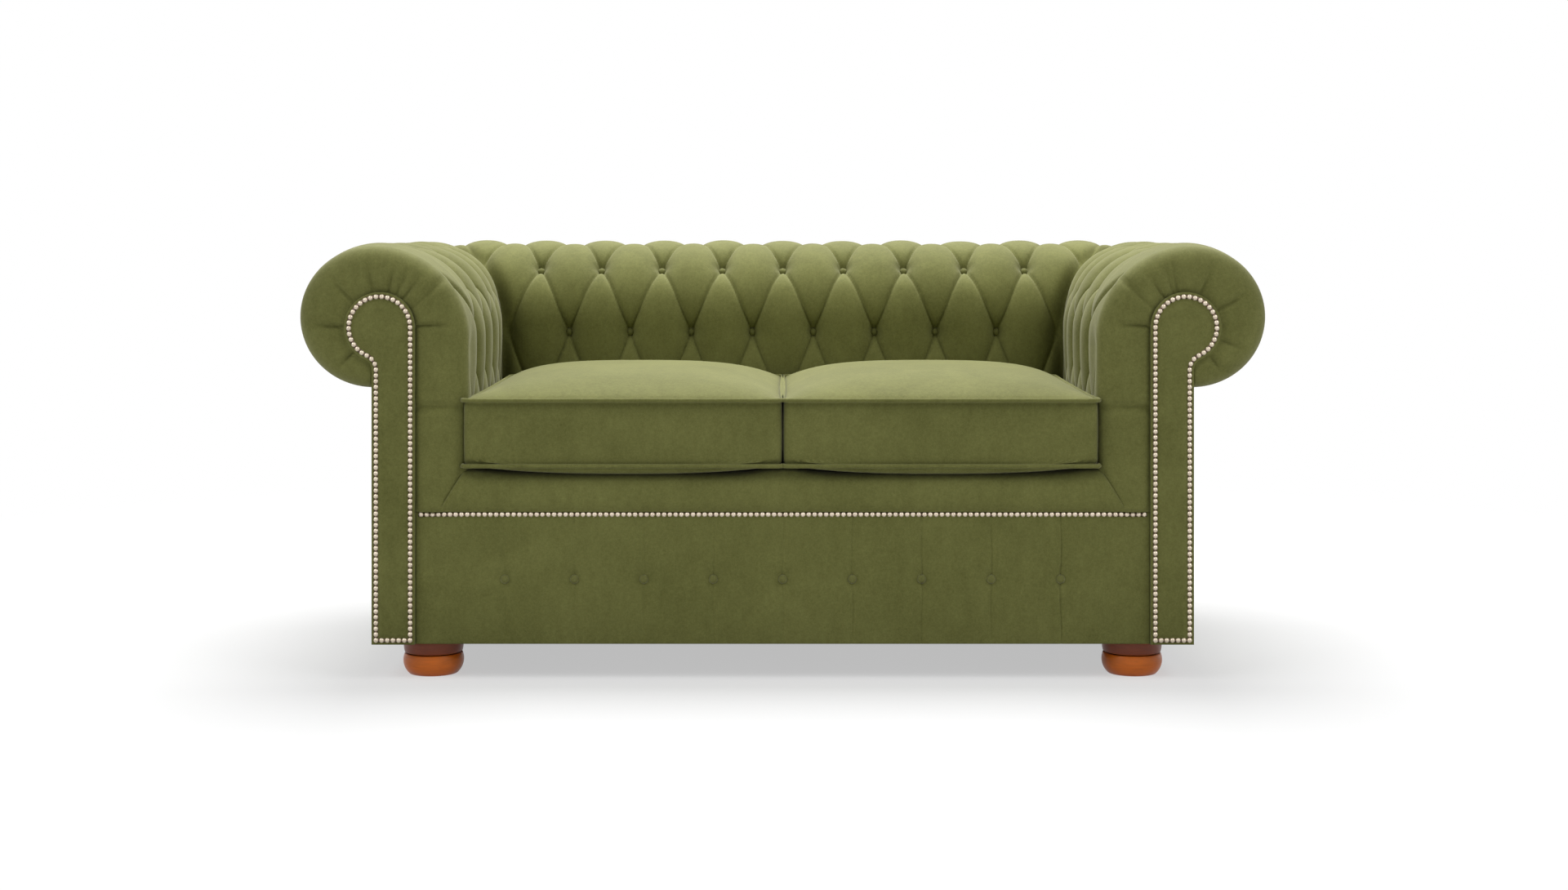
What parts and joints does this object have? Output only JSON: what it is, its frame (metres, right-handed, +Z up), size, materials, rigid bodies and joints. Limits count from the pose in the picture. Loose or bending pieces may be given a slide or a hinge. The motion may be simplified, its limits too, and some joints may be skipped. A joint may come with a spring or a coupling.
{
  "type": "chesterfield sofa bed",
  "caption": "Rolled-arm sofa with deep-buttoned back and arms, loose box cushions, nail-trimmed front, bun feet and a fold-out bed on steel sections.",
  "frame": {"origin": "on the floor at the middle of the overall box", "axes": "+X along the seat, to the right for someone looking at its front; -Y out of the front; +Z up"},
  "size_m": [1.744, 0.98, 0.782],
  "materials": {
    "velvet": "olive green plush velvet",
    "velvet_button": "olive green plush velvet over a button",
    "lining": "black non-woven cloth",
    "nail_metal": "polished, pale",
    "mahogany": "satin mahogany stain",
    "beech": "sawn beech",
    "zinc_steel": "zinc plated",
    "painted_steel": "black powder coat",
    "webbing": "woven black webbing",
    "mattress_ticking": "cream woven ticking"
  },
  "bodies": {
    "sofa": {"arm_base_rails": "beech", "arm_buttons": "velvet_button", "arm_facing_left": "velvet", "arm_facing_right": "velvet", "arm_pad_left": "velvet", "arm_pad_right": "velvet", "arm_top_rails": "beech", "back_base_rail": "beech", "back_buttons": "velvet_button", "back_lower_rail": "beech", "back_pad": "velvet", "back_top_rail": "beech", "bed_side_plates": "zinc_steel", "bed_side_rails": "beech", "border_nails": "nail_metal", "corner_blocks": "beech", "dust_cover": "lining", "facing_nails_left": "nail_metal", "facing_nails_right": "nail_metal", "foot_bolts": "zinc_steel", "foot_front_left": "mahogany", "foot_front_right": "mahogany", "foot_rear_left": "mahogany", "foot_rear_right": "mahogany", "front_lip": "velvet", "front_panel": "velvet", "front_panel_buttons": "velvet_button", "front_posts": "beech", "front_rail": "beech", "inside_arm_boards": "beech", "inside_back_board": "beech", "lift_pivot_pins": "zinc_steel", "outside_arm_panel_left": "velvet", "outside_arm_panel_right": "velvet", "outside_back_panel": "velvet", "rear_posts": "beech"},
    "front_lift": {"front_lift_arms": "painted_steel"},
    "rear_lift": {"rear_lift_arms": "painted_steel"},
    "head_section": {"head_frame": "painted_steel", "head_deck": "webbing", "head_mattress": "mattress_ticking", "head_links": "painted_steel", "head_pins": "zinc_steel"},
    "middle_section": {"middle_frame": "painted_steel", "middle_deck": "webbing", "middle_mattress": "mattress_ticking", "middle_links": "painted_steel", "middle_pins": "zinc_steel"},
    "foot_section": {"foot_frame": "painted_steel", "foot_deck": "webbing", "foot_mattress": "mattress_ticking", "foot_links": "painted_steel", "foot_pins": "zinc_steel", "pull_strap": "webbing"},
    "middle_leg_frame": {"middle_leg": "painted_steel"},
    "foot_leg_frame": {"foot_leg": "painted_steel"},
    "left_cushion": {"seat_cushion_left": "velvet"},
    "right_cushion": {"seat_cushion_right": "velvet"}
  },
  "joints": [
    {"name": "bed_lift", "type": "hinge", "parent": "sofa", "child": "front_lift", "pos_m": [0, -0.36842, 0.22922], "axis": [1, 0, 0], "range_deg": [0, 160]},
    {"name": "rear_arm_swing", "type": "hinge", "parent": "sofa", "child": "rear_lift", "pos_m": [0, 0.03158, 0.22922], "axis": [1, 0, 0], "range_deg": [0, 160]},
    {"name": "head_level", "type": "hinge", "parent": "front_lift", "child": "head_section", "pos_m": [0, -0.3, 0.0825], "axis": [1, 0, 0], "range_deg": [-160, 0]},
    {"name": "middle_fold", "type": "hinge", "parent": "head_section", "child": "middle_section", "pos_m": [0, -0.406, 0.1715], "axis": [1, 0, 0], "range_deg": [0, 180]},
    {"name": "foot_fold", "type": "hinge", "parent": "middle_section", "child": "foot_section", "pos_m": [0, 0.157, 0.2735], "axis": [1, 0, 0], "range_deg": [-180, 0]},
    {"name": "middle_leg_fold", "type": "hinge", "parent": "middle_section", "child": "middle_leg_frame", "pos_m": [0, 0.117, 0.2605], "axis": [1, 0, 0], "range_deg": [-90, 0]},
    {"name": "foot_leg_fold", "type": "hinge", "parent": "foot_section", "child": "foot_leg_frame", "pos_m": [0, -0.384, 0.2865], "axis": [1, 0, 0], "range_deg": [-90, 0]},
    {"name": "left_cushion_lift", "type": "slide", "parent": "foot_section", "child": "left_cushion", "axis": [0, 0, 1], "range_m": [0, 0.4]},
    {"name": "right_cushion_lift", "type": "slide", "parent": "foot_section", "child": "right_cushion", "axis": [0, 0, 1], "range_m": [0, 0.4]}
  ],
  "couplings": [
    {"joint": "rear_arm_swing", "follows": "bed_lift", "ratio": 1},
    {"joint": "head_level", "follows": "bed_lift", "ratio": -1},
    {"joint": "middle_fold", "follows": "bed_lift", "ratio": 1.125},
    {"joint": "foot_fold", "follows": "bed_lift", "ratio": -1.125},
    {"joint": "middle_leg_fold", "follows": "bed_lift", "ratio": -0.5625},
    {"joint": "foot_leg_fold", "follows": "bed_lift", "ratio": -0.5625}
  ]
}
